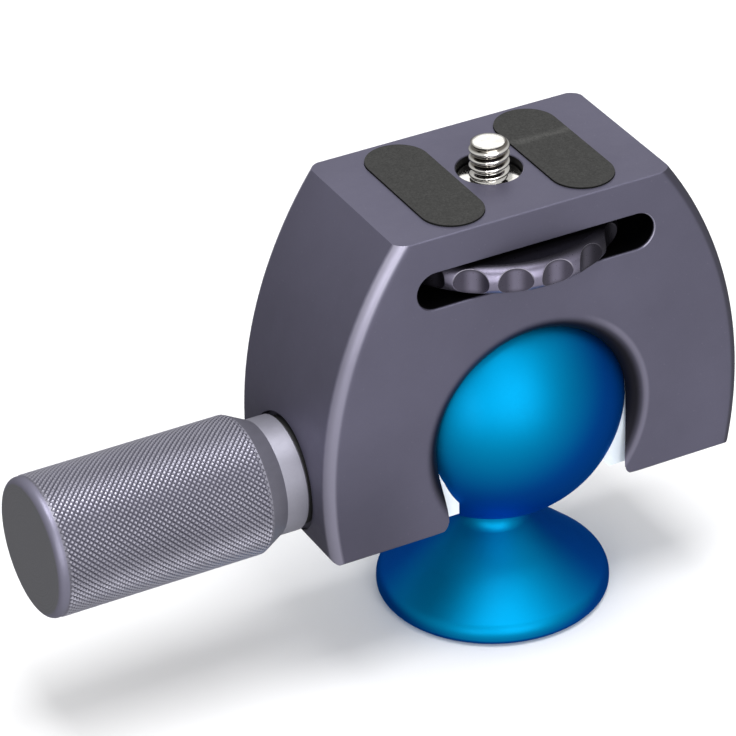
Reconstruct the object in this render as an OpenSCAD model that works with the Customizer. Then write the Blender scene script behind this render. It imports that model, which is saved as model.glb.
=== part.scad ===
// Ball head for a tripod: a flared foot and a ball, gripped from above by an
// arch-shaped housing with a captive camera screw and a side locking knob.
// Millimetres. Origin at the centre of the foot's underside, +Z up.
// The housing's broad faces look along -Y and +Y, the locking knob is at -X.

/* [Ball and foot] */
// height of the ball's centre above the underside of the foot
ball_z = 37; // [36.8:0.1:37.4]
// radius of the ball
ball_r = 21.07; // [20.9:0.01:21.1]
// largest radius of the foot
foot_r = 18.85; // [17.8:0.05:19.6]
// slope of the foot's upper cone below the horizontal, degrees
foot_slope = 41; // [38:1:42]
// radius of the neck under the ball
neck_r = 5.6; // [5.2:0.1:6.2]
// radius of the round rim above the widest line of the foot
foot_rim = 2.6; // [2:0.1:3]
// plain wall radius of the 3/8"-16 tripod thread
tripod_thread_r = 4; // [3.9:0.01:4.1]

/* [Housing] */
// front to back thickness of the housing
depth = 29.5; // [29:0.1:30]
// height of the flat top above the ball's centre
top_h = 39.4; // [39:0.1:41]
// depth of the legs below the ball's centre
leg_h = 14; // [13.7:0.1:15]
// radius of each curved side
side_r = 70.6; // [70:0.1:71.4]
// distance of each side's arc centre beyond the middle plane
side_c = 33.65; // [33.2:0.05:34.1]
// radius of the rounding along the curved sides
edge_r = 2.3; // [1.8:0.1:2.6]
// radius of the front and back ball openings at their narrowest
mouth_r = 16.6; // [16.4:0.05:16.8]
// radius of the rounding around the ball openings
mouth_round = 3.3; // [2.6:0.1:3.6]
// radius of the ball cavity
cavity_r = 21.25; // [21.2:0.01:21.35]
// radius of the bore between the legs at its lower end
bore_r = 21.75; // [21.6:0.05:22]

/* [Slot and wheel] */
// height of the slot's middle above the ball's centre
slot_h = 30.2; // [30:0.1:30.4]
// half of the slot's length
slot_half = 20.7; // [20.6:0.1:21.4]
// height of the slot
slot_t = 6.35; // [6.3:0.01:6.6]
// outer radius of the thumb wheel
wheel_r = 19.8; // [19.4:0.1:19.9]
// thickness of the thumb wheel
wheel_t = 4.9; // [4.6:0.1:4.9]
// number of finger scallops around the wheel
scallops = 18; // [14:2:20]
// radius of each scallop
scallop_r = 4.7; // [4.4:0.1:5]
// radial depth of each scallop
scallop_depth = 1.15; // [0.9:0.05:1.3]
// crest radius of the 1/4"-20 camera screw
screw_r = 3.175; // [3.1:0.005:3.175]
// height of the camera screw above the flat top
screw_up = 4.6; // [3.8:0.1:5.4]
// radius of the screw's clearance hole in the top
top_hole_r = 5.2; // [5.1:0.05:5.5]

/* [Rubber pads] */
// width of each pad
pad_w = 10.2; // [9:0.1:10.4]
// length of each pad
pad_l = 27.1; // [24:0.1:28]
// distance of each pad's middle from the screw
pad_x = 11.35; // [11:0.05:12]
// height of each pad above the flat top
pad_up = 0.3; // [0.2:0.1:0.6]

/* [Clamp and knob] */
// distance of the clamp's axis below the ball's centre
knob_drop = 4; // [3.8:0.1:4.2]
// radius of the knurled grip
knob_r = 11.25; // [10.5:0.05:11.6]
// length of the knurled grip
knob_len = 33.9; // [30:0.1:36]
// radius of the smooth collar
collar_r = 9.35; // [9:0.05:9.5]
// length of the smooth collar
collar_len = 3.8; // [3.2:0.1:4.2]
// length of the taper between grip and collar
taper_len = 3.7; // [3:0.1:4.4]
// radius of the clamp's spindle
spindle_r = 4; // [3.8:0.05:4]

/* [Hidden] */
$fn = 96;
blue = [0.0,0.36,0.64];
violet = [0.39,0.385,0.45];
violet_light = [0.5,0.49,0.56];
nickel = [0.78,0.78,0.78];
steel = [0.6,0.6,0.62];
brass = [0.75,0.6,0.3];
white = [0.88,0.91,0.93];
rubber = [0.29,0.29,0.28];
black = [0.08,0.08,0.09];
half = depth/2;
gap = 0.05;                       // sliding fit between ball and its seats
liner_y = 12.95;                  // half width of the seats below the ball's middle
liner_yt = 12.3;                  // half width of the seats above it
liner_lo = -(leg_h-1.65);         // lower end of the seats
liner_hi = 12.6;                  // upper end of the seats
liner_back = 24.4;                // back of the fixed seat
pocket_x = 24.45;                 // floor of both seat pockets
shoe_back = 23.7;                 // back of the moving seat
lip_r = 18.4;                     // upright throat between the seats
boss_r = 4;
slot_lo = slot_h-slot_t/2;
slot_hi = slot_h+slot_t/2;
wheel_lo = slot_h-wheel_t/2;
wheel_hi = wheel_lo+wheel_t;
phase = 2.34;                     // turn of the scallops at rest
kx0 = -37.1;                      // inner end of the knob's collar
kx1 = kx0-collar_len;             // collar to taper
kx2 = kx1-taper_len;              // taper to grip
kx3 = kx2-knob_len;               // grip to end cap
cap_t = 1.5;
spot_x = -35.5;                   // flat seat milled in the left side
spindle_in = -(shoe_back+1.05);   // inner end of the spindle
spindle_out = -61;
cavity_x = -61.2;                 // floor of the hollow in the grip

// turn a shape built upright so that its axis points along +X
module along_x() rotate([0,90,0]) children();
// turn a shape built upright so that its axis points along Y
module along_y() rotate([90,0,0]) children();
module at_ball() translate([0,0,ball_z]) children();
module at_clamp() translate([0,0,ball_z-knob_drop]) children();
// plain ring or disc along +X, from x0 to x1
module ring_x(x0,x1,r,ri=0) translate([x0,0,0]) along_x() difference(){
  cylinder(h=x1-x0,r=r);
  if (ri>0) translate([0,0,-1]) cylinder(h=x1-x0+2,r=ri);
}

// ---- foot ----
rimz = 1.5;                       // height of the foot's widest line
fcx = foot_r-foot_rim;
ftx = fcx+foot_rim*sin(foot_slope);
ftz = rimz+foot_rim*cos(foot_slope);
fillet = 2.6;
ftan = tan(foot_slope);
gtx = neck_r+fillet-fillet*sin(foot_slope);
gtz = ftz+(ftx-gtx)*ftan;
gcz = gtz+fillet*cos(foot_slope);
neck_top = ball_z-20.05;
module foot() color(blue) difference(){
  rotate_extrude($fn=160) difference(){
    union(){
      polygon([[0,0],[foot_r-1.1,0],[foot_r-1.1,rimz],[fcx,rimz],[ftx,ftz],[gtx,gtz],[neck_r+fillet,gcz],[neck_r,gcz],[neck_r,neck_top],[0,neck_top]]);
      intersection(){
        translate([fcx,rimz]) circle(r=foot_rim,$fn=96);
        translate([fcx-3,rimz]) square([8,4]);
      }
      intersection(){
        translate([foot_r-1.1,1.1]) circle(r=1.1,$fn=64);
        translate([fcx,0]) square([8,rimz]);
      }
      translate([fcx,1.1]) square([foot_rim,rimz-1.1]);
    }
    translate([neck_r+fillet,gcz]) circle(r=fillet,$fn=96);
  }
  translate([0,0,-1]) cylinder(h=10.4,r=6.02);
  translate([0,0,5]) cylinder(h=40,r=3.55);
  // shallow relief ring in the underside
  translate([0,0,-1]) difference(){ cylinder(h=1.4,r=12.5); translate([0,0,-1]) cylinder(h=4,r=8.2); }
}

module foot_thread_insert() color(steel) difference(){
  cylinder(h=9.2,r=6);
  translate([0,0,-1]) cylinder(h=20,r=tripod_thread_r);
}

// ---- ball ----
module ball() color(blue) at_ball() difference(){
  sphere(r=ball_r,$fn=160);
  translate([-15,-15,-30]) cube([30,30,10]);
  translate([0,0,-21]) cylinder(h=14,r=3.52);
}
module ball_stud() color(steel) at_ball() difference(){
  union(){
    translate([0,0,-27.3]) cylinder(h=19.7,r=3.48);
    translate([0,0,-7.61]) cylinder(h=0.4,r1=3.48,r2=3);
  }
  translate([0,0,-28]) cylinder(h=3.2,r=2.2,$fn=6);
}

// ---- housing ----
ea = 78;                          // sweep of the rounding from the broad face
edge_in = edge_r*sin(ea);
edge_dn = edge_r*(1-cos(ea));
module side_profile() difference(){
  translate([0,-half]) square([side_r,depth]);
  for (s=[-1,1]) difference(){
    translate([side_r-edge_in,s>0?half-edge_dn:-half-1]) square([edge_in+1,edge_dn+1]);
    translate([side_r-edge_in,s*(half-edge_r)]) circle(r=edge_r,$fn=96);
  }
}
corner_r = 1.8;
bev = 0.15;                       // small bevel of the top's long edges, the slot and the screw hole
throat_round = 1.8;               // rounding at the lower end of the bore
corner_z = -leg_h+corner_r;
arc_x = function(z) -side_c+sqrt(side_r*side_r-(z+1.5)*(z+1.5));
corner_x = arc_x(corner_z)-corner_r;
module arch_block() intersection(){
  for (s=[1]) translate([-side_c,0,-1.5]) along_y() rotate_extrude($fn=360) side_profile();
  translate([side_c,0,-1.5]) along_y() rotate_extrude($fn=360) side_profile();
  union(){
    translate([-45,-half,corner_z]) cube([90,depth,top_h-corner_z]);
    translate([-corner_x,-half,-leg_h]) cube([2*corner_x,depth,corner_r+1]);
    for (s=[-1,1]) translate([s*corner_x,0,corner_z]) along_y() cylinder(h=depth,r=corner_r,center=true,$fn=64);
  }
  // small bevels along the long front and back edges
  translate([-50,0,0]) rotate([90,0,90]) linear_extrude(100)
    polygon([[-half,-leg_h+0.5],[-half+0.5,-leg_h],[half-0.5,-leg_h],[half,-leg_h+0.5],
      [half,top_h-bev],[half-bev,top_h],[-half+bev,top_h],[-half,top_h-bev]]);
}
module mouth_cut() for (s=[0,180]) rotate([0,0,s]) along_y() rotate_extrude($fn=200) difference(){
  translate([0,half-mouth_round]) square([mouth_r+mouth_round,mouth_round+1]);
  translate([mouth_r+mouth_round,half-mouth_round]) circle(r=mouth_round,$fn=96);
  translate([mouth_r+mouth_round-0.001,half]) square([1,2]);
}
module stadium(w,l,h) {
  for (s=[-1,1]) translate([0,s*(l-w)/2,0]) cylinder(h=h,r=w/2,$fn=96);
  translate([-w/2,-(l-w)/2,0]) cube([w,l-w,h]);
}
// bevel around the slot's mouth on the face that looks along -Y
module slot_bevel() translate([0,-half,slot_h]) {
  for (s=[-1,1]) translate([s*(slot_half-slot_t/2),0,0]) along_y() {
    translate([0,0,-bev]) cylinder(h=bev,r1=slot_t/2,r2=slot_t/2+bev,$fn=96);
  }
  translate([-(slot_half-slot_t/2),0,0]) rotate([90,0,90]) linear_extrude(2*(slot_half-slot_t/2))
    polygon([[0,-slot_t/2-bev],[bev,-slot_t/2],[bev,slot_t/2],[0,slot_t/2+bev]]);
}
module housing() color(violet) at_ball() difference(){
  arch_block();
  sphere(r=cavity_r,$fn=160);
  translate([0,0,-leg_h-1]) cylinder(h=leg_h+1,r1=bore_r,r2=cavity_r,$fn=160);
  mouth_cut();
  // slot for the wheel
  translate([0,0,slot_h]) along_y() {
    translate([-(slot_half-slot_t/2),-slot_t/2,-half-1]) cube([2*(slot_half-slot_t/2),slot_t,depth+2]);
    for (s=[-1,1]) translate([s*(slot_half-slot_t/2),0,-half-1]) cylinder(h=depth+2,r=slot_t/2,$fn=96);
  }
  slot_bevel();
  rotate([0,0,180]) slot_bevel();
  translate([0,0,top_h-bev]) cylinder(h=bev,r1=top_hole_r,r2=top_hole_r+bev);
  // rounding at the lower end of the bore
  rotate_extrude($fn=160) difference(){
    translate([bore_r-0.2,-leg_h-0.5]) square([throat_round+0.2,throat_round+0.5]);
    translate([bore_r+throat_round,-leg_h+throat_round]) circle(r=throat_round,$fn=96);
    translate([bore_r+throat_round-0.001,-leg_h]) square([1,throat_round+1]);
  }
  // screw holes above and below the slot
  translate([0,0,slot_h]) cylinder(h=20,r=top_hole_r);
  translate([0,0,slot_lo-3.2]) cylinder(h=5,r=3);
  // seats' pockets
  seat_block(12,pocket_x,0.03,-leg_h-1);
  seat_block(-pocket_x,-12,0.05,-leg_h-1);
  // spring washer and boss behind the fixed seat
  ring_x(pocket_x-1,26.1,9.8);
  ring_x(pocket_x-1,28.6,boss_r+0.02);
  // clamp bush, with its flange on the inside
  translate([0,0,-knob_drop]) {
    ring_x(-40,-pocket_x+1,6.52);
    ring_x(-26.1,-pocket_x+1,8.52);
    ring_x(-45,spot_x,9.7);
  }
  translate([-31,0,-leg_h-1]) cylinder(h=leg_h-knob_drop,r=1.52,$fn=48);
  // recesses for the rubber pads
  for (s=[-1,1]) translate([s*pad_x,0,top_h-0.4]) stadium(pad_w+0.1,pad_l+0.1,2);
}

// block of a seat from x0 to x1, a little narrower above the ball's middle; e is the room around it
module seat_block(x0,x1,e,z0) translate([x0,0,0]) rotate([90,0,90]) linear_extrude(x1-x0)
  polygon([[-liner_y-e,z0],[liner_y+e,z0],[liner_y+e,-6],[liner_yt+e,-2],[liner_yt+e,liner_hi+e],
    [-liner_yt-e,liner_hi+e],[-liner_yt-e,-2],[-liner_y-e,-6]]);
module seat_cut(r) {
  sphere(r=r,$fn=160);
  translate([0,0,-leg_h-1]) cylinder(h=leg_h+1,r=lip_r,$fn=160);
}
module bearing_liner() color(white) at_ball() difference(){
  union(){
    seat_block(10,liner_back,0,liner_lo);
    ring_x(liner_back-1,28.3,boss_r);
  }
  seat_cut(ball_r+gap);
  // flare at the lower end of the throat
  translate([0,0,liner_lo-0.01]) cylinder(h=1.1,r1=lip_r+0.7,r2=lip_r,$fn=160);
}
module brake_shoe() color(white) at_ball() difference(){
  seat_block(-shoe_back,-10,0,liner_lo);
  seat_cut(ball_r+gap);
  translate([0,0,-knob_drop]) ring_x(-shoe_back-1,-22.2,6.52);
}
module pressure_plate() color(steel) at_clamp() difference(){
  ring_x(-shoe_back,-22.25,6.5);
  translate([-shoe_back-0.95,0,0]) sphere(r=2.02,$fn=64);
}
module thrust_ball() color(nickel) at_clamp() translate([-shoe_back-0.95,0,0]) sphere(r=2,$fn=64);
module liner_spring_washer() color(steel) at_ball() along_x() rotate_extrude($fn=96)
  polygon([[4.4,25.25],[9.5,24.65],[9.5,25.35],[4.4,25.95]]);

module rubber_pad_left() color(rubber) at_ball() translate([-pad_x,0,top_h-0.4]) stadium(pad_w,pad_l,0.4+pad_up);
module rubber_pad_right() color(rubber) at_ball() translate([pad_x,0,top_h-0.4]) stadium(pad_w,pad_l,0.4+pad_up);

module spindle_bush() color(brass) at_clamp() difference(){
  union(){
    ring_x(spot_x,-pocket_x-0.05,6.5);
    ring_x(-26.05,-pocket_x-0.05,8.5);
  }
  ring_x(-60,0,spindle_r+0.06);
}
module bush_lock_screw() color(steel) at_ball() difference(){
  translate([-31,0,-leg_h+0.5]) cylinder(h=leg_h-knob_drop-6.5-0.55,r=1.5,$fn=48);
  translate([-31,0,-leg_h-0.5]) cylinder(h=2,r=0.85,$fn=6);
}

// ---- wheel and camera screw ----
rim_r = 2.5;                      // rounding of the wheel's rim
module thumb_wheel() color(violet_light) at_ball() difference(){
  rotate_extrude($fn=200) difference(){
    translate([3.2,wheel_lo]) square([wheel_r-3.2,wheel_t]);
    difference(){
      translate([wheel_r-rim_r,wheel_lo-1]) square([rim_r+1,wheel_t+2]);
      translate([wheel_r-rim_r,wheel_lo+wheel_t/2]) circle(r=rim_r,$fn=96);
    }
  }
  for (i=[0:scallops-1]) rotate([0,0,phase-90+i*360/scallops])
    translate([wheel_r-scallop_depth+scallop_r,0,wheel_lo-1]) cylinder(h=wheel_t+2,r=scallop_r,$fn=64);
  rotate([0,0,phase+90]) translate([2,0,wheel_lo+wheel_t/2]) along_x() cylinder(h=20,r=1.52,$fn=48);
}
module wheel_grub_screw() color(steel) at_ball() rotate([0,0,phase+90]) translate([screw_r+0.05,0,wheel_lo+wheel_t/2]) along_x() difference(){
  cylinder(h=6,r=1.5,$fn=48);
  translate([0,0,4.5]) cylinder(h=2,r=0.8,$fn=6);
}
module camera_screw() color(nickel) at_ball() {
  translate([0,0,slot_lo-3.1]) cylinder(h=4,r=2.95);
  translate([0,0,slot_lo+0.2]) cylinder(h=top_h-2.4-slot_lo,r=screw_r);
  // flange inside the top hole, then an undercut below the free thread
  translate([0,0,top_h-3.4]) cylinder(h=1.9,r=top_hole_r-0.1);
  translate([0,0,top_h-2]) cylinder(h=3,r=screw_r-0.35);
  translate([0,0,top_h+0.5]) cylinder(h=screw_up-1.2,r=screw_r);
  translate([0,0,top_h+screw_up-0.7]) cylinder(h=0.7,r1=screw_r,r2=screw_r-0.7);
}
module wheel_thrust_washer() color(white) at_ball() translate([0,0,slot_lo]) difference(){
  cylinder(h=wheel_lo-slot_lo-0.1,r=7);
  translate([0,0,-1]) cylinder(h=3,r=screw_r+0.12);
}

// ---- clamp spindle and knob ----
module clamp_spindle() color(steel) at_clamp() difference(){
  union(){
    ring_x(spindle_out,spindle_in-0.6,spindle_r);
    translate([spindle_in-0.6,0,0]) along_x() cylinder(h=0.6,r1=spindle_r,r2=spindle_r-0.6);
  }
  // cup for the thrust ball
  translate([-shoe_back-0.95,0,0]) sphere(r=2.02,$fn=64);
  // tapped end and keyway
  ring_x(spindle_out-1,spindle_out+11,2.52);
  translate([-58.05,-1.02,spindle_r-1.2]) cube([8.1,2.04,3]);
}
module knob_sleeve() color(violet) at_clamp() difference(){
  union(){
    ring_x(kx3,kx2,knob_r);
    translate([kx2,0,0]) along_x() cylinder(h=taper_len,r1=knob_r,r2=collar_r);
    ring_x(kx1,kx0-0.3,collar_r);
    translate([kx0-0.3,0,0]) along_x() cylinder(h=0.3,r1=collar_r,r2=collar_r-0.3);
  }
  ring_x(-90,0,spindle_r+0.03);
  ring_x(kx3-1,cavity_x,8.5);
  translate([-58.05,-1.02,0]) cube([8.1,2.04,spindle_r+1.22]);
}
module drive_key() color(steel) at_clamp() translate([-58,-1,spindle_r-1.18]) cube([8,2,2.36]);
module knob_end_cap() color([0.37,0.37,0.39]) at_clamp() {
  translate([kx3-cap_t,0,0]) along_x() rotate_extrude($fn=160) {
    square([knob_r-0.1-1.2,cap_t]);
    translate([0,1.2]) square([knob_r-0.1,cap_t-1.2]);
    intersection(){
      translate([knob_r-0.1-1.2,1.2]) circle(r=1.2,$fn=64);
      square([knob_r,cap_t]);
    }
  }
  ring_x(kx3-0.01,kx3+4,8.47);
}
module knob_screw() color(steel) at_clamp() difference(){
  union(){
    ring_x(-67.3,-62.3,4.25);
    ring_x(-63,-52,2.48);
  }
  translate([-67.8,0,0]) along_x() cylinder(h=3,r=2.3,$fn=6);
}
module knob_screw_washer() color(steel) at_clamp() ring_x(-62.25,-61.25,6,2.6);
module collar_washer() color(black) at_clamp() ring_x(kx0+0.03,spot_x-0.35,8.8,spindle_r+0.05);

foot();
foot_thread_insert();
ball();
ball_stud();
liner_spring_washer();
housing();
bearing_liner();
rubber_pad_left();
rubber_pad_right();
spindle_bush();
bush_lock_screw();
wheel_thrust_washer();
thumb_wheel();
camera_screw();
wheel_grub_screw();
brake_shoe();
pressure_plate();
thrust_ball();
clamp_spindle();
knob_sleeve();
knob_end_cap();
knob_screw();
knob_screw_washer();
drive_key();
collar_washer();
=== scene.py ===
import math

import bmesh
import bpy
from mathutils import Matrix, Vector


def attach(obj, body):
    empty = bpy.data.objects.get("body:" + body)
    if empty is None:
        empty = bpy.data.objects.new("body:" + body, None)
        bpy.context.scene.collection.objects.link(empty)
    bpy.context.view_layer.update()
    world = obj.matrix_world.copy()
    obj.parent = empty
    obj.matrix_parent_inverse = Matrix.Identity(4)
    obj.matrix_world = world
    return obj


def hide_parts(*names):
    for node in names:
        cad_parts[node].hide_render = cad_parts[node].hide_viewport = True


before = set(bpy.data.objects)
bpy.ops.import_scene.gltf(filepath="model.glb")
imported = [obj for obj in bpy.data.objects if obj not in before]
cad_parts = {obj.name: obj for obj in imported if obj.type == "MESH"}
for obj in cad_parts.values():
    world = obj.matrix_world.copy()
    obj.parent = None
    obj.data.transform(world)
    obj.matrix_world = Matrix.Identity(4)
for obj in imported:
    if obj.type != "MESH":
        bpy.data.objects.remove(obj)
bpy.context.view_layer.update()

MM = 0.001
BALL_Z = 37.0          # ball centre above the foot's underside, mm
CLAMP_Z = 33.0         # height of the clamp's axis, mm


# ---------------------------------------------------------------- node helpers
class Mat:
    """A small helper that builds one node material."""

    def __init__(self, name):
        self.m = bpy.data.materials.new(name)
        self.m.use_nodes = True
        self.nt = self.m.node_tree
        self.nt.nodes.clear()
        self.out = self.nt.nodes.new("ShaderNodeOutputMaterial")
        self.b = self.nt.nodes.new("ShaderNodeBsdfPrincipled")
        self.link(self.b.outputs[0], self.out.inputs["Surface"])
        self.coord = self.nt.nodes.new("ShaderNodeTexCoord")

    def node(self, kind, **props):
        n = self.nt.nodes.new(kind)
        for k, v in props.items():
            setattr(n, k, v)
        return n

    def link(self, a, b):
        self.nt.links.new(a, b)
        return b

    def put(self, socket, value):
        if isinstance(value, bpy.types.NodeSocket):
            self.link(value, socket)
        elif value is not None:
            socket.default_value = value

    def math(self, op, a, b=None, c=None, clamp=False):
        n = self.node("ShaderNodeMath", operation=op, use_clamp=clamp)
        self.put(n.inputs[0], a)
        if b is not None:
            self.put(n.inputs[1], b)
        if c is not None:
            self.put(n.inputs[2], c)
        return n.outputs[0]

    def obj(self):
        return self.coord.outputs["Object"]

    def scaled(self, sx, sy, sz, rot=(0, 0, 0)):
        n = self.node("ShaderNodeMapping")
        n.inputs["Scale"].default_value = (sx, sy, sz)
        n.inputs["Rotation"].default_value = rot
        self.link(self.obj(), n.inputs["Vector"])
        return n.outputs[0]

    def noise(self, vector, scale, detail=3.0, rough=0.55, distortion=0.0):
        n = self.node("ShaderNodeTexNoise")
        self.link(vector, n.inputs["Vector"])
        n.inputs["Scale"].default_value = scale
        n.inputs["Detail"].default_value = detail
        n.inputs["Roughness"].default_value = rough
        n.inputs["Distortion"].default_value = distortion
        return n.outputs["Fac"]

    def voronoi(self, vector, scale, feature="F1"):
        n = self.node("ShaderNodeTexVoronoi", feature=feature)
        self.link(vector, n.inputs["Vector"])
        n.inputs["Scale"].default_value = scale
        return n.outputs["Distance"]

    def map(self, value, lo, hi, to_lo=0.0, to_hi=1.0, smooth=False):
        n = self.node("ShaderNodeMapRange")
        if smooth:
            n.interpolation_type = "SMOOTHSTEP"
        n.inputs["From Min"].default_value = lo
        n.inputs["From Max"].default_value = hi
        n.inputs["To Min"].default_value = to_lo
        n.inputs["To Max"].default_value = to_hi
        self.put(n.inputs["Value"], value)
        return n.outputs[0]

    def mix(self, fac, a, b):
        n = self.node("ShaderNodeMix", data_type="RGBA")
        self.put(n.inputs[0], fac)
        for s, v in ((n.inputs[6], a), (n.inputs[7], b)):
            if isinstance(v, bpy.types.NodeSocket):
                self.link(v, s)
            else:
                s.default_value = (*v, 1.0)
        return n.outputs[2]

    def xyz(self, vector=None):
        n = self.node("ShaderNodeSeparateXYZ")
        self.link(vector or self.obj(), n.inputs[0])
        return n.outputs

    def radius(self, a, b, ca=0.0, cb=0.0):
        """Distance from an axis, from two coordinates and its place."""
        da = self.math("SUBTRACT", a, ca)
        db = self.math("SUBTRACT", b, cb)
        return self.math("SQRT", self.math("ADD", self.math("MULTIPLY", da, da), self.math("MULTIPLY", db, db)))

    def bump(self, height, distance, strength=1.0, normal=None):
        n = self.node("ShaderNodeBump")
        n.inputs["Distance"].default_value = distance
        n.inputs["Strength"].default_value = strength
        self.link(height, n.inputs["Height"])
        if normal is not None:
            self.link(normal, n.inputs["Normal"])
        return n.outputs[0]

    def edge_normal(self, radius, samples=6):
        n = self.node("ShaderNodeBevel", samples=samples)
        n.inputs["Radius"].default_value = radius
        return n.outputs[0]

    def edge_mask(self, radius, lo=0.02, hi=0.25):
        """1 along crisp edges, from how far a bevelled normal leaves the true one."""
        g = self.node("ShaderNodeNewGeometry")
        d = self.node("ShaderNodeVectorMath", operation="DOT_PRODUCT")
        self.link(self.edge_normal(radius), d.inputs[0])
        self.link(g.outputs["Normal"], d.inputs[1])
        return self.map(self.math("SUBTRACT", 1.0, d.outputs["Value"]), lo, hi)


def lin(r, g, b):
    """sRGB 0-255 to linear."""
    def f(c):
        c /= 255.0
        return c / 12.92 if c <= 0.04045 else ((c + 0.055) / 1.055) ** 2.4
    return (f(r), f(g), f(b))


# ---------------------------------------------------------------- materials
def violet_blasted(name="violet_blasted", base=(102, 100, 118), rough=0.46, edge=0.00016):
    """Bead-blasted and anodised aluminium: fine even grain, faint cloudiness, crisp edges lightened by wear and
    painted highlight, painted shade in the recesses, painted highlight and painted shade on the edge roundings.
    """
    k = Mat(name)
    p = k.obj()
    x, y, z = k.xyz()
    ax, ay = k.math("ABSOLUTE", x), k.math("ABSOLUTE", y)
    cloud = k.noise(p, 55.0, 3.0, 0.5)
    grain = k.noise(p, 5200.0, 2.0, 0.7)
    pits = k.voronoi(p, 3600.0)
    specks = k.map(k.voronoi(p, 620.0), 0.10, 0.04)
    edge_m = k.edge_mask(edge, 0.05, 0.35)
    broken = k.map(k.noise(p, 900.0, 3.0, 0.7), 0.38, 0.62)
    # crisp edges lightened in broken patches: partly wear, partly painted highlight
    edge_wear_and_highlight = k.math("MULTIPLY", edge_m, k.math("MULTIPLY_ADD", broken, 0.6, 0.4))
    # painted shade: the inside of the wheel's slot, the screw's hole and the deep side of the ball openings are
    # painted nearly black
    slot = k.math("MULTIPLY", k.map(ay, 0.01460, 0.01420), k.math("MULTIPLY",
           k.map(ax, 0.02090, 0.02080), k.math("MULTIPLY", k.map(z, 0.06394, 0.06398), k.map(z, 0.07046, 0.07042))))
    ra = k.radius(x, y)
    hole = k.math("MULTIPLY", k.map(ra, 0.00540, 0.00534), k.map(z, 0.07630, 0.07610))
    hole = k.math("MULTIPLY", hole, k.map(z, 0.0690, 0.0692))
    rb = k.radius(x, z, 0.0, BALL_Z * MM)
    deep = k.math("MULTIPLY", k.map(rb, 0.01985, 0.01805, smooth=True), k.map(ay, 0.0100, 0.0110))
    # painted highlight: the roundings on the side of the knob are painted a little brighter, more so higher up
    on = k.node("ShaderNodeSeparateXYZ")
    k.link(k.coord.outputs["Normal"], on.inputs[0])
    ny = k.math("ABSOLUTE", on.outputs[1])
    band = k.math("MULTIPLY", k.map(on.outputs[0], -0.18, -0.40, smooth=True), k.map(ny, 0.22, 0.45, smooth=True))
    band = k.math("MULTIPLY", band, k.map(rb, 0.0203, 0.0206))
    c = lin(*base)
    col = k.mix(k.map(cloud, 0.3, 0.7), tuple(v * 0.93 for v in c), tuple(v * 1.07 for v in c))
    col = k.mix(k.math("MULTIPLY", k.map(grain, 0.25, 0.75), 0.10), col, tuple(v * 1.5 for v in c))
    col = k.mix(k.math("MULTIPLY", specks, 0.16), col, lin(150, 146, 160))
    shade = k.math("MULTIPLY", k.map(on.outputs[0], 0.15, 0.40, smooth=True), k.map(ny, 0.22, 0.45, smooth=True))
    shade = k.math("MULTIPLY", shade, k.map(rb, 0.0203, 0.0206))
    # painted shade: the lower part of the left leg is painted darker
    low = k.math("MULTIPLY", k.map(x, -0.0170, -0.0290, smooth=True), k.map(z, 0.0500, 0.0260, smooth=True))
    # painted highlight: a light ring painted just outside the rounding of the ball opening, on the right
    ring = k.math("MULTIPLY", k.map(k.math("ABSOLUTE", k.math("SUBTRACT", rb, 0.01960)), 0.0008, 0.0002, smooth=True),
                  k.math("MULTIPLY", k.map(x, 0.0080, 0.0140), k.map(ay, 0.0100, 0.0110)))
    col = k.mix(k.math("MULTIPLY", low, 0.38), col, lin(52, 50, 60))
    col = k.mix(k.math("MULTIPLY", ring, 0.45), col, lin(150, 147, 166))
    col = k.mix(k.math("MULTIPLY", shade, 0.55), col, lin(52, 50, 58))
    col = k.mix(k.math("MULTIPLY", band, k.map(z, 0.058, 0.072, 0.46, 0.90)), col, lin(178, 175, 194))
    col = k.mix(k.math("MULTIPLY", edge_wear_and_highlight, 0.60), col, lin(176, 173, 186))
    # painted shade: the recesses are mixed to near black
    painted_recess_shade = k.math("MAXIMUM", k.math("MAXIMUM", slot, hole), k.math("MULTIPLY", deep, 0.92))
    col = k.mix(k.math("MULTIPLY", painted_recess_shade, 0.985), col, (0.0006, 0.0005, 0.0006))
    k.link(col, k.b.inputs["Base Color"])
    k.b.inputs["Metallic"].default_value = 0.72
    r = k.map(k.noise(p, 420.0, 3.0, 0.6), 0.3, 0.7, rough - 0.03, rough + 0.04)
    k.link(k.math("SUBTRACT", r, k.math("MULTIPLY", edge_wear_and_highlight, 0.12)), k.b.inputs["Roughness"])
    k.b.inputs["Specular IOR Level"].default_value = 0.2
    h = k.math("ADD", k.math("MULTIPLY", grain, 0.7), k.math("MULTIPLY", pits, 0.5))
    n = k.bump(h, 0.000012, 0.55, k.edge_normal(0.00012))
    k.link(n, k.b.inputs["Normal"])
    return k.m


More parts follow.
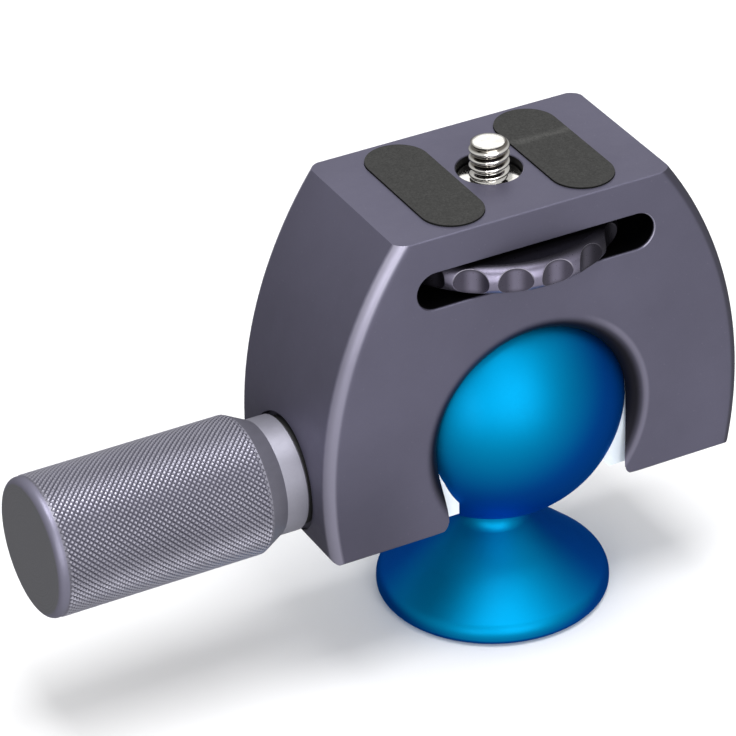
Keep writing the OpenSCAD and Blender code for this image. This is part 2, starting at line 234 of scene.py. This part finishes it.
def violet_knurl():
    """The knurled grip, its taper and its collar: turned aluminium, anodised. Painted shade darkens the grooves and
    the taper, and painted highlights lighten the flats.
    """
    k = Mat("violet_turned")
    p = k.obj()
    x, y, z = k.xyz()
    r = k.radius(y, z, 0.0, CLAMP_Z * MM)
    grip = k.map(x, -0.0443, -0.0446)                       # 1 on the knurled length
    # painted shade in the grooves of the knurl
    groove_shade = k.math("MULTIPLY", grip, k.map(r, 0.01124, 0.01102))
    cloud = k.noise(p, 90.0, 3.0, 0.5)
    grain = k.noise(p, 4200.0, 2.0, 0.7)
    # fine turning lines along the smooth stretch
    lines = k.noise(k.scaled(1.0, 0.02, 0.02), 9000.0, 2.0, 0.6)
    smooth = k.math("SUBTRACT", 1.0, grip)
    c = lin(160, 159, 171)
    col = k.mix(k.map(cloud, 0.3, 0.7), tuple(v * 0.94 for v in c), tuple(v * 1.06 for v in c))
    col = k.mix(k.math("MULTIPLY", groove_shade, 0.60), col, lin(90, 88, 100))
    # painted shade on the taper
    taper = k.math("MULTIPLY", smooth, k.math("MULTIPLY", k.map(x, -0.04085, -0.04100), k.map(x, -0.0446, -0.0443)))
    col = k.mix(k.math("MULTIPLY", taper, 0.40), col, lin(84, 82, 94))
    # painted highlight on the flats of the diamonds
    crest_highlight = k.math("MULTIPLY", grip, k.map(r, 0.01112, 0.01126))
    col = k.mix(k.math("MULTIPLY", crest_highlight, k.map(grain, 0.3, 0.8, 0.15, 0.50)), col, lin(190, 188, 202))
    k.link(col, k.b.inputs["Base Color"])
    k.b.inputs["Metallic"].default_value = 0.78
    satin = k.math("MULTIPLY_ADD", smooth, 0.16, k.map(k.noise(p, 1500.0, 2.0, 0.6), 0.3, 0.7, 0.33, 0.42))
    k.link(satin, k.b.inputs["Roughness"])
    h = k.math("ADD", k.math("MULTIPLY", grain, 0.5), k.math("MULTIPLY", k.math("MULTIPLY", lines, smooth), 1.2))
    k.link(k.bump(h, 0.00001, 0.5), k.b.inputs["Normal"])
    return k.m


def wheel_metal():
    """Satin turned aluminium of the thumb wheel: painted light-and-shade stripes in its finger scallops, painted
    highlights on their upper rims and crisp edges, and painted shade deeper inside the slot, the crown left lit.
    """
    k = Mat("violet_satin_wheel")
    p = k.obj()
    x, y, z = k.xyz()
    r = k.radius(x, y)
    rings = k.noise(k.scaled(0.03, 0.03, 1.0), 7000.0, 2.0, 0.6)
    ringr = k.node("ShaderNodeTexNoise", noise_dimensions="1D")
    ringr.inputs["Scale"].default_value = 9000.0
    ringr.inputs["Detail"].default_value = 2.0
    k.link(r, ringr.inputs["W"])
    grain = k.noise(p, 3000.0, 2.0, 0.6)
    edge_m = k.edge_mask(0.00016)
    # how deep a point lies inside the round rim: the finger scallops
    dz = k.math("SUBTRACT", z, 0.0672)
    arc = k.math("SQRT", k.math("MAXIMUM", k.math("SUBTRACT", 0.0025 ** 2, k.math("MULTIPLY", dz, dz)), 0.0))
    depth = k.math("SUBTRACT", k.math("ADD", arc, 0.0173), r)
    rim = k.math("MULTIPLY", k.map(r, 0.0174, 0.0176), k.map(k.math("ABSOLUTE", dz), 0.00243, 0.00238))
    scallop = k.math("MULTIPLY", k.map(depth, 0.00002, 0.00005), rim)
    # painted highlight along the upper rim of each scallop
    lip_highlight = k.math("MULTIPLY", k.math("MULTIPLY", scallop, k.map(depth, 0.00016, 0.00010)), k.map(dz, 0.0, 0.0012))
    # painted light and shade: each scallop is painted light across its middle and dark to either side
    turn = k.math("MULTIPLY_ADD", k.math("ARCTAN2", y, x), 18.0 / (2 * math.pi), (90.0 - 2.34) / 20.0 + 0.5)
    u = k.math("ABSOLUTE", k.math("SUBTRACT", k.math("FRACT", turn), 0.53))
    scallop_light_stripe = k.map(u, 0.03, 0.26, 0.85, 0.28, smooth=True)
    c = lin(146, 141, 163)
    col = k.mix(k.map(k.noise(p, 120.0, 2.0, 0.5), 0.3, 0.7), tuple(v * 0.95 for v in c), tuple(v * 1.05 for v in c))
    inner = k.mix(scallop_light_stripe, lin(42, 38, 50), lin(140, 135, 156))
    col = k.mix(scallop, col, inner)
    # painted shade: deeper inside the slot, under its roof, near its floor and towards both ends the wheel is painted
    # dark
    back = k.map(r, 0.0160, 0.0186, smooth=True)
    roof = k.map(z, 0.06960, 0.06850, 0.0, 1.0, smooth=True)
    foot = k.map(z, 0.06480, 0.06590, 0.25, 1.0, smooth=True)
    ends = k.math("MULTIPLY", k.map(x, 0.0110, 0.0010, 0.05, 1.0, smooth=True), k.map(x, -0.0170, -0.0135, 0.05, 1.0, smooth=True))
    sides = k.map(y, 0.0, -0.0080)
    ends = k.math("ADD", k.math("MULTIPLY", ends, sides), k.math("SUBTRACT", 1.0, sides))
    lit = k.math("MULTIPLY", k.math("MULTIPLY", back, roof), k.math("MULTIPLY", foot, ends))
    col = k.mix(lit, tuple(v * 0.06 for v in c), col)
    lip_highlight = k.math("MULTIPLY", lip_highlight, k.math("MULTIPLY", ends, foot))
    # painted highlight on crisp edges, only where the wheel is left lit
    edge_wear_and_highlight = k.math("MULTIPLY", k.math("MULTIPLY", edge_m, lit), 0.35)
    col = k.mix(k.math("MAXIMUM", edge_wear_and_highlight, k.math("MULTIPLY", lip_highlight, 0.75)), col, lin(226, 222, 238))
    k.link(col, k.b.inputs["Base Color"])
    k.b.inputs["Metallic"].default_value = 0.88
    k.link(k.map(grain, 0.3, 0.7, 0.27, 0.35), k.b.inputs["Roughness"])
    h = k.math("ADD", k.math("MULTIPLY", ringr.outputs["Fac"], 0.8), k.math("MULTIPLY", rings, 0.3))
    k.link(k.bump(h, 0.000008, 0.5, k.edge_normal(0.0001)), k.b.inputs["Normal"])
    return k.m


def cap_grey():
    """Turned end face in neutral grey, with the violet rounded rim."""
    k = Mat("grey_turned_cap")
    p = k.obj()
    x, y, z = k.xyz()
    r = k.radius(y, z, 0.0, CLAMP_Z * MM)
    rim = k.map(r, 0.01005, 0.01050, smooth=True)
    ring = k.node("ShaderNodeTexNoise", noise_dimensions="1D")
    ring.inputs["Scale"].default_value = 7500.0
    ring.inputs["Detail"].default_value = 3.0
    k.link(r, ring.inputs["W"])
    grain = k.noise(p, 3800.0, 2.0, 0.7)
    face = k.mix(k.map(ring.outputs["Fac"], 0.3, 0.7), lin(120, 120, 125), lin(132, 132, 137))
    col = k.mix(rim, face, lin(128, 126, 144))
    k.link(col, k.b.inputs["Base Color"])
    k.b.inputs["Metallic"].default_value = 0.7
    k.link(k.map(grain, 0.3, 0.7, 0.40, 0.48), k.b.inputs["Roughness"])
    h = k.math("ADD", k.math("MULTIPLY", ring.outputs["Fac"], 0.9), k.math("MULTIPLY", grain, 0.4))
    k.link(k.bump(h, 0.00001, 0.45), k.b.inputs["Normal"])
    return k.m


def blue_anodised(name, kind):
    """Blue dyed anodised aluminium with a soft satin gloss and very fine turning."""
    k = Mat(name)
    p = k.obj()
    x, y, z = k.xyz()
    grain = k.noise(p, 3600.0, 2.0, 0.6)
    cloud = k.noise(p, 70.0, 3.0, 0.5)
    turn = k.node("ShaderNodeTexNoise", noise_dimensions="1D")
    turn.inputs["Scale"].default_value = 6500.0
    turn.inputs["Detail"].default_value = 2.0
    k.link(z, turn.inputs["W"])
    lw = k.node("ShaderNodeLayerWeight")
    lw.inputs["Blend"].default_value = 0.5
    graze = k.map(lw.outputs["Facing"], 0.06, 0.52, smooth=True)
    # the dyed film looks deeper where it is seen at a slant
    c, deep = lin(0, 146, 198), lin(0, 84, 172)
    col = k.mix(graze, c, deep)
    col = k.mix(k.map(cloud, 0.3, 0.7, 0.0, 0.06), col, lin(0, 60, 120))
    if kind == "ball":
        # faint rub marks where the seats bear on it
        rub = k.map(k.noise(k.scaled(1.0, 1.0, 3.5), 260.0, 4.0, 0.7), 0.60, 0.72)
        side = k.map(k.math("ABSOLUTE", x), 0.0150, 0.0185)
        col = k.mix(k.math("MULTIPLY", k.math("MULTIPLY", rub, side), 0.25), col, lin(70, 180, 220))
    k.link(col, k.b.inputs["Base Color"])
    k.b.inputs["Metallic"].default_value = 1.0
    k.link(k.map(grain, 0.3, 0.7, 0.46, 0.52), k.b.inputs["Roughness"])
    k.b.inputs["Specular Tint"].default_value = (0.15, 0.55, 1.0, 1.0)
    k.b.inputs["Coat Weight"].default_value = 0.02
    k.b.inputs["Coat Roughness"].default_value = 0.28
    k.b.inputs["Coat IOR"].default_value = 1.5
    h = k.math("ADD", k.math("MULTIPLY", turn.outputs["Fac"], 0.5), k.math("MULTIPLY", grain, 0.6))
    k.link(k.bump(h, 0.000006, 0.4), k.b.inputs["Normal"])
    return k.m


def rubber_sheet():
    """Sanded rubber and cork sheet: fine directional grain, mottled, a faint scuff, cut sides painted near black as
    their own dark colour and as painted shade.
    """
    k = Mat("rubber_sanded")
    p = k.obj()
    x, y, z = k.xyz()
    top = k.map(z, 0.07660, 0.07668)
    grain = k.noise(k.scaled(1.0, 0.22, 1.0), 3800.0, 3.0, 0.75)
    fine = k.noise(p, 2600.0, 4.0, 0.8)
    mottle = k.noise(p, 480.0, 4.0, 0.65)
    col = k.mix(k.map(fine, 0.3, 0.7), lin(33, 33, 32), lin(66, 66, 65))
    col = k.mix(k.map(mottle, 0.35, 0.65, 0.0, 0.35), col, lin(44, 44, 43))
    col = k.mix(k.map(grain, 0.60, 0.80, 0.0, 0.4), col, lin(86, 86, 84))
    # pale scuff across the right-hand pad
    wob = k.math("MULTIPLY_ADD", k.noise(p, 300.0, 2.0, 0.5), 0.0016, -0.0008)
    band = k.math("ABSOLUTE", k.math("SUBTRACT", k.math("ADD", y, wob), 0.0042))
    scuff = k.math("MULTIPLY", k.map(band, 0.0012, 0.0002), k.map(x, 0.004, 0.008))
    col = k.mix(k.math("MULTIPLY", scuff, k.map(fine, 0.35, 0.65, 0.1, 0.5)), col, lin(92, 92, 90))
    # cut sides painted near black: partly their own colour, partly painted shade
    col = k.mix(top, lin(8, 8, 8), col)
    k.link(col, k.b.inputs["Base Color"])
    k.link(k.map(fine, 0.3, 0.7, 0.82, 0.95), k.b.inputs["Roughness"])
    k.b.inputs["Specular IOR Level"].default_value = 0.3
    h = k.math("ADD", k.math("MULTIPLY", fine, 0.8), k.math("MULTIPLY", grain, 0.7))
    k.link(k.bump(h, 0.00004, 0.7), k.b.inputs["Normal"])
    return k.m


def nickel():
    """Bright nickel plate on the camera screw: nearly mirror, with soft ripples and painted shade in the roots of the
    thread.
    """
    k = Mat("nickel_bright")
    p = k.obj()
    x, y, z = k.xyz()
    ripple = k.noise(k.scaled(1.0, 1.0, 2.2), 700.0, 3.0, 0.55)
    fine = k.noise(p, 2500.0, 2.0, 0.6)
    col = k.mix(k.map(ripple, 0.3, 0.7), lin(226, 223, 217), lin(240, 238, 233))
    rs = k.radius(x, y)
    # painted shade in the roots of the thread
    groove_shade = k.math("MULTIPLY", k.map(rs, 0.00308, 0.00268, smooth=True), k.math("MULTIPLY", k.map(z, 0.0766, 0.0769), k.map(z, 0.08097, 0.08090)))
    col = k.mix(k.math("MULTIPLY", groove_shade, 0.85), col, lin(92, 84, 74))
    k.link(col, k.b.inputs["Base Color"])
    k.b.inputs["Metallic"].default_value = 1.0
    k.link(k.map(fine, 0.3, 0.7, 0.09, 0.17), k.b.inputs["Roughness"])
    k.link(k.bump(ripple, 0.00003, 0.5), k.b.inputs["Normal"])
    return k.m


def plain_steel(name="steel_turned", base=(150, 150, 153), rough=0.34):
    k = Mat(name)
    p = k.obj()
    grain = k.noise(p, 2600.0, 3.0, 0.6)
    stain = k.noise(p, 160.0, 4.0, 0.6)
    c = lin(*base)
    col = k.mix(k.map(stain, 0.35, 0.65), tuple(v * 0.88 for v in c), tuple(v * 1.06 for v in c))
    k.link(col, k.b.inputs["Base Color"])
    k.b.inputs["Metallic"].default_value = 1.0
    k.link(k.map(grain, 0.3, 0.7, rough - 0.05, rough + 0.06), k.b.inputs["Roughness"])
    k.link(k.bump(grain, 0.00001, 0.5), k.b.inputs["Normal"])
    return k.m


def white_bearing():
    """Bearing plastic: slightly blue white, soft, with faint moulding flow."""
    k = Mat("white_bearing_plastic")
    p = k.obj()
    flow = k.noise(k.scaled(1.0, 1.0, 0.4), 140.0, 3.0, 0.5)
    fine = k.noise(p, 2400.0, 3.0, 0.6)
    col = k.mix(k.map(flow, 0.3, 0.7), lin(214, 224, 232), lin(229, 236, 241))
    k.link(col, k.b.inputs["Base Color"])
    k.link(k.map(fine, 0.3, 0.7, 0.38, 0.50), k.b.inputs["Roughness"])
    k.b.inputs["Subsurface Weight"].default_value = 0.25
    k.b.inputs["Subsurface Radius"].default_value = (0.0010, 0.0011, 0.0012)
    k.link(k.bump(fine, 0.00001, 0.4), k.b.inputs["Normal"])
    return k.m


def black_washer():
    k = Mat("black_washer_plastic")
    p = k.obj()
    fine = k.noise(p, 2600.0, 3.0, 0.7)
    col = k.mix(k.map(fine, 0.3, 0.7), lin(16, 16, 17), lin(30, 30, 32))
    k.link(col, k.b.inputs["Base Color"])
    k.link(k.map(fine, 0.3, 0.7, 0.5, 0.7), k.b.inputs["Roughness"])
    k.link(k.bump(fine, 0.00002, 0.5), k.b.inputs["Normal"])
    return k.m


violet = violet_blasted()
turned = violet_knurl()
steel = plain_steel()
brass = plain_steel("brass_turned", (196, 164, 92), 0.3)
nick = nickel()
white = white_bearing()
black = black_washer()
rubber = rubber_sheet()

CAD_MATERIALS = {
    "foot": blue_anodised("blue_anodised_foot", "foot"),
    "foot_thread_insert": steel,
    "ball": blue_anodised("blue_anodised_ball", "ball"),
    "ball_stud": steel,
    "liner_spring_washer": steel,
    "housing": violet,
    "bearing_liner": white,
    "rubber_pad_left": rubber,
    "rubber_pad_right": rubber,
    "spindle_bush": brass,
    "bush_lock_screw": steel,
    "wheel_thrust_washer": white,
    "thumb_wheel": wheel_metal(),
    "wheel_grub_screw": steel,
    "brake_shoe": white,
    "pressure_plate": steel,
    "thrust_ball": nick,
    "clamp_spindle": steel,
    "knob_end_cap": cap_grey(),
    "knob_screw": steel,
    "knob_screw_washer": steel,
    "drive_key": steel,
    "collar_washer": black,
}
for node, mat in CAD_MATERIALS.items():
    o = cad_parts[node]
    o.data.materials.clear()
    o.data.materials.append(mat)


# ---------------------------------------------------------------- mesh helpers
def new_object(name, bm, mat, body, replaces):
    bm.normal_update()
    me = bpy.data.meshes.new(name)
    bm.to_mesh(me)
    bm.free()
    me.materials.append(mat)
    o = bpy.data.objects.new(name, me)
    bpy.context.scene.collection.objects.link(o)
    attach(o, body)
    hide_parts(*replaces)
    return o


def join_rings(bm, a, b, smooth=True, sharp=False):
    """Quads between two rings of as many vertices."""
    n = len(a)
    for i in range(n):
        j = (i + 1) % n
        f = bm.faces.new((a[i], a[j], b[j], b[i]))
        f.smooth = smooth


# ---------------------------------------------------------------- knurled grip
def knurled_sleeve():
    """Diamond-knurled grip with its turned taper, smooth collar, stepped bore and keyway."""
    kx0, kx1, kx2, kx3 = -37.1, -40.9, -44.6, -78.5
    crest, root, collar = 11.25, 10.98, 9.35
    n = 148                                  # half pitches around
    slope = (crest - collar) / (kx1 - kx2) * -1.0
    x_start = kx3 + 0.12
    x_end = kx2 + (crest - root) / abs(slope)
    rows = 72
    step = (x_end - x_start) / rows
    keep = 0.40                              # width of a flat against its diamond

    def cone(x):
        return crest if x < kx2 else crest - (x - kx2) * abs(slope)

    bm = bmesh.new()

    def at(x, k, r):
        a = 2 * math.pi * k / n
        return bm.verts.new((x * MM, r * math.sin(a) * MM, (CLAMP_Z + r * math.cos(a)) * MM))

    grid = {}
    for l in range(rows + 1):
        for k in range(n):
            if (k + l) % 2 == 0:
                grid[k, l] = at(x_start + l * step, k, root)
    mids = {}
    for l in (0, rows):
        for k in range(n):
            if (k + l) % 2:
                mids[k, l] = at(x_start + l * step, k, root)
    for l in range(1, rows):
        for k in range(n):
            if (k + l) % 2 == 0:
                continue
            x = x_start + l * step
            wob = 0.012 * math.sin(k * 12.9898 + l * 78.233) * math.sin(k * 4.1 + l * 1.7)
            corners = [grid[(k - 1) % n, l], grid[k, l - 1], grid[(k + 1) % n, l], grid[k, l + 1]]
            crest_highlight = []
            for dk, dl in ((-keep, 0), (0, -keep), (keep, 0), (0, keep)):
                xx = x + dl * step
                crest_highlight.append(at(xx, k + dk, min(crest - 0.012 + wob, cone(xx) - 0.002)))
            bm.faces.new(crest_highlight[::-1])
            for i in range(4):
                j = (i + 1) % 4
                bm.faces.new((corners[j], corners[i], crest_highlight[i], crest_highlight[j]))
    for l, other in ((0, 1), (rows, rows - 1)):
        for k in range(n):
            if (k + l) % 2:
                m, p, q, s = mids[k, l], grid[(k - 1) % n, l], grid[(k + 1) % n, l], grid[k, other]
                if l == 0:
                    bm.faces.new((p, s, m)), bm.faces.new((m, s, q))
                else:
                    bm.faces.new((m, s, p)), bm.faces.new((q, s, m))

    def edge_ring(l):
        return [grid.get((k, l)) or mids[k, l] for k in range(n)]

    def ring(x, r):
        return [at(x, k, r) for k in range(n)]

    # taper, collar and its little chamfer, inner end face
    path = [edge_ring(rows), ring(kx1, collar), ring(kx0 - 0.3, collar), ring(kx0, collar - 0.3), ring(kx0, 4.03)]
    path[1:1] = [ring(x, cone(x)) for x in (kx2 + 1.4, kx2 + 2.4)]
    # stepped bore back to the outer end
    path += [ring(-61.2, 4.03), ring(-61.2, 8.5), ring(kx3, 8.5), ring(kx3, root), edge_ring(0)]
    for a, b in zip(path, path[1:]):
        join_rings(bm, a, b)
    bmesh.ops.recalc_face_normals(bm, faces=bm.faces)
    o = new_object("knob_sleeve_knurled", bm, turned, "knob_group", ["knob_sleeve"])
    # crisp edges between the turned surfaces
    me = o.data
    sharp = me.attributes.new("sharp_edge", "BOOLEAN", "EDGE")
    normals = {}
    for f in me.polygons:
        for e in f.edge_keys:
            normals.setdefault(e, []).append(f.normal)
    flags = []
    for e in me.edges:
        f = normals.get(tuple(sorted(e.vertices)), [])
        flags.append(len(f) == 2 and f[0].angle(f[1], 0.0) > math.radians(18))
    sharp.data.foreach_set("value", flags)
    # keyway milled through the bore
    kb = bmesh.new()
    bmesh.ops.create_cube(kb, size=1.0)
    for v in kb.verts:
        v.co = Vector((-54.0 + v.co.x * 8.1, v.co.y * 2.04, CLAMP_Z + 2.61 + v.co.z * 5.22)) * MM
    km = bpy.data.meshes.new("keyway_cutter")
    kb.to_mesh(km)
    kb.free()
    cutter = bpy.data.objects.new("keyway_cutter", km)
    bpy.context.scene.collection.objects.link(cutter)
    mod = o.modifiers.new("keyway", "BOOLEAN")
    mod.operation, mod.solver, mod.object = "DIFFERENCE", "EXACT", cutter
    bpy.context.view_layer.update()
    cut = bpy.data.meshes.new_from_object(o.evaluated_get(bpy.context.evaluated_depsgraph_get()))
    o.modifiers.clear()
    o.data = cut
    bpy.data.objects.remove(cutter)
    return o


# ---------------------------------------------------------------- camera screw
def threaded_screw():
    """Quarter-inch screw with a real helical thread of 1.4 mm pitch, its flange in the hole and its pilot end."""
    top_h, slot_lo, screw_up = 39.4, 27.025, 4.6
    n = 128
    pitch, major, minor = 1.4, 3.175, 2.42
    base = BALL_Z
    turn = 0.5 + 0.424 - 42.7 / pitch                 # puts a crest where it stands at rest
    bm = bmesh.new()

    def at(z, k, r):
        a = 2 * math.pi * k / n
        return bm.verts.new((r * math.cos(a) * MM, r * math.sin(a) * MM, (base + z) * MM))

    def ring(z, r):
        return [at(z, k, r) for k in range(n)]

    def thread(z, k):
        """Radius of a rounded 60 degree thread, running out at both ends."""
        t = (z / pitch - k / n + turn) % 1.0
        d = abs(t - 0.5) * 2.0                        # 0 at the crest, 1 at the root
        h = 1.0 - min(1.0, max(0.0, (d - 0.16) / 0.66))
        h = h * h * (3 - 2 * h) * 0.55 + h * 0.45
        return minor + (major - minor) * h

    z0, z1 = top_h - 1.45, top_h + screw_up
    rings = [
        ring(slot_lo - 3.1, 2.65), ring(slot_lo - 2.8, 2.95), ring(slot_lo + 0.2, 2.95),
        ring(slot_lo + 0.2, major), ring(top_h - 3.4, major), ring(top_h - 3.4, 5.0),
        ring(top_h - 3.3, 5.1), ring(top_h - 1.7, 5.1), ring(top_h - 1.5, 4.95),
        ring(top_h - 1.5, 2.95), ring(z0, 2.82),
    ]
    step = pitch / 20.0
    count = int((z1 - 0.02 - z0) / step)
    for i in range(1, count + 1):
        z = z0 + i * step
        low = min(1.0, max(0.0, (z - z0) / 0.5))
        lead = min(1.0, max(0.0, (z1 - z) / 0.75))
        row = []
        for k in range(n):
            r = thread(z, k)
            cap = major - 0.85 * (1.0 - math.sqrt(max(0.0, 1.0 - (1.0 - lead) ** 2)))
            r = min(r, cap)
            r = 2.82 + (r - 2.82) * low if low < 1 else r
            row.append(at(z, k, r))
        rings.append(row)
    top_r = major - 0.85
    rings += [ring(z1 - 0.01, top_r - 0.05), ring(z1, top_r - 0.25)]
    for a, b in zip(rings, rings[1:]):
        join_rings(bm, a, b)
    for rg, z in ((rings[0], slot_lo - 3.1), (rings[-1], z1)):
        inner = rg
        for f in (0.66, 0.33):
            r = (rg[0].co.xy.length / MM) * f
            nxt = ring(z, r)
            join_rings(bm, inner, nxt)
            inner = nxt
        c = bm.verts.new((0, 0, (base + z) * MM))
        for k in range(n):
            bm.faces.new((inner[k], inner[(k + 1) % n], c)).smooth = True
    bmesh.ops.recalc_face_normals(bm, faces=bm.faces)
    o = new_object("camera_screw_threaded", bm, nick, "wheel_group", ["camera_screw"])
    me = o.data
    sharp = me.attributes.new("sharp_edge", "BOOLEAN", "EDGE")
    normals = {}
    for f in me.polygons:
        for e in f.edge_keys:
            normals.setdefault(e, []).append(f.normal)
    flags = []
    for e in me.edges:
        f = normals.get(tuple(sorted(e.vertices)), [])
        flags.append(len(f) == 2 and f[0].angle(f[1], 0.0) > math.radians(50))
    sharp.data.foreach_set("value", flags)
    return o


knurled_sleeve()
threaded_screw()


# ---------------------------------------------------------------- stage and light
def floor():
    bm = bmesh.new()
    bmesh.ops.create_grid(bm, x_segments=1, y_segments=1, size=6.0)
    me = bpy.data.meshes.new("floor")
    bm.to_mesh(me)
    bm.free()
    o = bpy.data.objects.new("floor", me)
    o.location = (0, 0, -0.0002)
    bpy.context.scene.collection.objects.link(o)
    k = Mat("floor_paper")
    k.b.inputs["Base Color"].default_value = (0.93, 0.93, 0.935, 1)
    k.b.inputs["Roughness"].default_value = 0.9
    k.b.inputs["Specular IOR Level"].default_value = 0.1
    me.materials.append(k.m)
    return o


fl = floor()
fl.visible_glossy = False


def area(name, direction, distance, w, h, power, aim=(0.0, 0.0, 0.045), color=(1, 1, 1), roll=0.0):
    d = Vector(direction).normalized()
    lamp = bpy.data.lights.new(name, "AREA")
    lamp.shape = "RECTANGLE"
    lamp.size, lamp.size_y = w, h
    lamp.energy = power
    lamp.color = color
    o = bpy.data.objects.new(name, lamp)
    o.location = Vector(aim) + d * distance
    q = d.to_track_quat("Z", "Y")
    o.rotation_mode = "QUATERNION"
    from mathutils import Quaternion
    o.rotation_quaternion = q @ Quaternion((0, 0, 1), roll)
    bpy.context.scene.collection.objects.link(o)
    return o


area("front_box", (-0.12, -0.94, 0.33), 1.0, 0.68, 0.82, 4.3)
area("top_box", (0.0, -0.12, 1.0), 1.1, 0.6, 0.7, 9.0)
area("left_strip", (-0.66, -0.66, 0.18), 1.0, 0.20, 0.5, 1.5)
area("back_card", (0.39, 0.753, 0.53), 1.3, 0.40, 0.3, 0.3)

# The surroundings: pale above, middling low in front, dark low at the back and to the sides.
world = bpy.data.worlds.new("studio")
bpy.context.scene.world = world
world.use_nodes = True
wt = world.node_tree
wt.nodes.clear()
wo = wt.nodes.new("ShaderNodeOutputWorld")
bg = wt.nodes.new("ShaderNodeBackground")
tc = wt.nodes.new("ShaderNodeTexCoord")
sp = wt.nodes.new("ShaderNodeSeparateXYZ")
wt.links.new(tc.outputs["Generated"], sp.inputs[0])


def ramp(socket, lo, hi, stops):
    m = wt.nodes.new("ShaderNodeMapRange")
    m.inputs["From Min"].default_value = lo
    m.inputs["From Max"].default_value = hi
    wt.links.new(socket, m.inputs["Value"])
    r = wt.nodes.new("ShaderNodeValToRGB")
    wt.links.new(m.outputs[0], r.inputs[0])
    e = r.color_ramp.elements
    for i, (pos, v) in enumerate(stops):
        q = e[i] if i < 2 else e.new(pos)
        q.position, q.color = pos, (v, v, v, 1)
    return r.outputs[0]


def blend(fac, a, b):
    m = wt.nodes.new("ShaderNodeMix")
    m.data_type = "RGBA"
    wt.links.new(fac, m.inputs[0])
    wt.links.new(a, m.inputs[6])
    wt.links.new(b, m.inputs[7])
    return m.outputs[2]


above = ramp(sp.outputs[2], 0.0, 1.0, [(0.0, 0.42), (1.0, 0.95), (0.45, 0.60)])
below = ramp(sp.outputs[1], -1.0, 1.0, [(0.0, 0.72), (1.0, 0.16), (0.30, 0.68), (0.62, 0.24)])
horizon = ramp(sp.outputs[2], -0.18, 0.12, [(0.0, 0.0), (1.0, 1.0)])
wt.links.new(blend(horizon, below, above), bg.inputs["Color"])
bg.inputs["Strength"].default_value = 0.9
wt.links.new(bg.outputs[0], wo.inputs["Surface"])

# ---------------------------------------------------------------- camera
AZ, EL, ROLL = math.radians(-27.37), math.radians(31.96), math.radians(-1.44)
DIST, TX, TZ, FOCAL = 707.25, -19.36, 2.75, 4491.13
b = Vector((math.sin(AZ) * math.cos(EL), -math.cos(AZ) * math.cos(EL), math.sin(EL)))
rt = Vector((math.cos(AZ), math.sin(AZ), 0.0))
up = b.cross(rt)
R = rt * math.cos(ROLL) + up * math.sin(ROLL)
U = rt * -math.sin(ROLL) + up * math.cos(ROLL)
C = (b * DIST + R * TX + U * TZ) * MM + Vector((0, 0, BALL_Z * MM))
cam = bpy.data.cameras.new("camera")
cam.sensor_fit = "HORIZONTAL"
cam.sensor_width = 36.0
cam.lens = FOCAL / 736.0 * 36.0
cam.clip_start, cam.clip_end = 0.01, 20.0
co = bpy.data.objects.new("camera", cam)
co.matrix_world = Matrix((
    (R.x, U.x, b.x, C.x), (R.y, U.y, b.y, C.y), (R.z, U.z, b.z, C.z), (0, 0, 0, 1)))
bpy.context.scene.collection.objects.link(co)
bpy.context.scene.camera = co

bpy.context.scene.view_settings.view_transform = "Standard"
bpy.context.scene.view_settings.look = "None"
